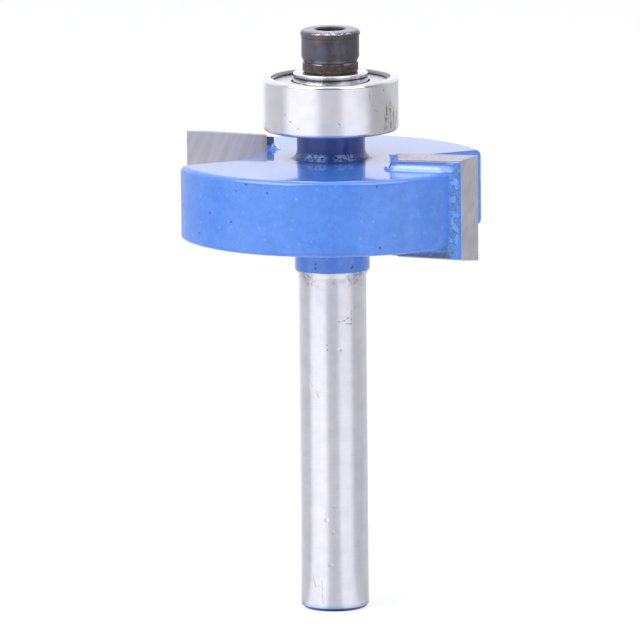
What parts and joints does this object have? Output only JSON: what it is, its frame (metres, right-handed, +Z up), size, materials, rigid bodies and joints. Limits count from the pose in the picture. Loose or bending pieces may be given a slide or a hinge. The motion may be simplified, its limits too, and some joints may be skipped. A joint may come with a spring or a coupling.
{
  "type": "router bit",
  "caption": "Rabbeting router bit: plain shank, lobed disc with brazed carbide tips, and a pilot ball bearing held on by a socket cap screw.",
  "frame": {"origin": "on the tool's axis at the flat end of the shank, where the bit stands", "axes": "+Z up the axis from the shank's end to the cap screw; both cutting faces are parallel to the XZ plane, and the tip on the +X side faces +Y"},
  "size_m": [0.0308, 0.0292, 0.0549],
  "materials": {
    "painted_body": "gloss blue paint over steel, with the ground shank left bare",
    "carbide": "fine-ground matt grey tungsten carbide",
    "bearing_steel": "ground and polished bearing steel",
    "pressed_steel": "bright pressed sheet steel",
    "spring_wire": "drawn wire",
    "plated_steel": "bright zinc plate",
    "spring_steel": "brown-black oxide over spring steel",
    "black_oxide": "black oxide, worn bright at the rim"
  },
  "bodies": {
    "cutter": {"cutter_body": "painted_body", "carbide_tip_1": "carbide", "carbide_tip_2": "carbide", "bearing_inner_ring": "bearing_steel", "flat_washer": "plated_steel", "spring_washer": "spring_steel", "cap_screw": "black_oxide"},
    "outer_race": {"bearing_outer_ring": "bearing_steel", "bearing_shield_upper": "pressed_steel", "shield_snap_ring_upper": "spring_wire", "bearing_shield_lower": "pressed_steel", "shield_snap_ring_lower": "spring_wire"},
    "ball_cage": {"bearing_cage": "pressed_steel"},
    "ball_1": {"bearing_ball_1": "bearing_steel"},
    "ball_2": {"bearing_ball_2": "bearing_steel"},
    "ball_3": {"bearing_ball_3": "bearing_steel"},
    "ball_4": {"bearing_ball_4": "bearing_steel"},
    "ball_5": {"bearing_ball_5": "bearing_steel"},
    "ball_6": {"bearing_ball_6": "bearing_steel"},
    "ball_7": {"bearing_ball_7": "bearing_steel"}
  },
  "joints": [
    {"name": "outer_race_spin", "type": "hinge", "parent": "cutter", "child": "outer_race", "pos_m": [0, 0, 0.04789], "axis": [0, 0, 1], "continuous": true},
    {"name": "cage_spin", "type": "hinge", "parent": "cutter", "child": "ball_cage", "pos_m": [0, 0, 0.04789], "axis": [0, 0, 1], "continuous": true},
    {"name": "ball_1_spin", "type": "hinge", "parent": "ball_cage", "child": "ball_1", "pos_m": [0.00437, 0, 0.04789], "axis": [0, 0, 1], "continuous": true},
    {"name": "ball_2_spin", "type": "hinge", "parent": "ball_cage", "child": "ball_2", "pos_m": [0.00272, 0.00341, 0.04789], "axis": [0, 0, 1], "continuous": true},
    {"name": "ball_3_spin", "type": "hinge", "parent": "ball_cage", "child": "ball_3", "pos_m": [-0.00097, 0.00426, 0.04789], "axis": [0, 0, 1], "continuous": true},
    {"name": "ball_4_spin", "type": "hinge", "parent": "ball_cage", "child": "ball_4", "pos_m": [-0.00393, 0.00189, 0.04789], "axis": [0, 0, 1], "continuous": true},
    {"name": "ball_5_spin", "type": "hinge", "parent": "ball_cage", "child": "ball_5", "pos_m": [-0.00393, -0.00189, 0.04789], "axis": [0, 0, 1], "continuous": true},
    {"name": "ball_6_spin", "type": "hinge", "parent": "ball_cage", "child": "ball_6", "pos_m": [-0.00097, -0.00426, 0.04789], "axis": [0, 0, 1], "continuous": true},
    {"name": "ball_7_spin", "type": "hinge", "parent": "ball_cage", "child": "ball_7", "pos_m": [0.00272, -0.00341, 0.04789], "axis": [0, 0, 1], "continuous": true}
  ],
  "couplings": [
    {"joint": "cage_spin", "follows": "outer_race_spin", "ratio": 0.6364},
    {"joint": "ball_1_spin", "follows": "outer_race_spin", "ratio": 1.6971},
    {"joint": "ball_2_spin", "follows": "outer_race_spin", "ratio": 1.6971},
    {"joint": "ball_3_spin", "follows": "outer_race_spin", "ratio": 1.6971},
    {"joint": "ball_4_spin", "follows": "outer_race_spin", "ratio": 1.6971},
    {"joint": "ball_5_spin", "follows": "outer_race_spin", "ratio": 1.6971},
    {"joint": "ball_6_spin", "follows": "outer_race_spin", "ratio": 1.6971},
    {"joint": "ball_7_spin", "follows": "outer_race_spin", "ratio": 1.6971}
  ]
}
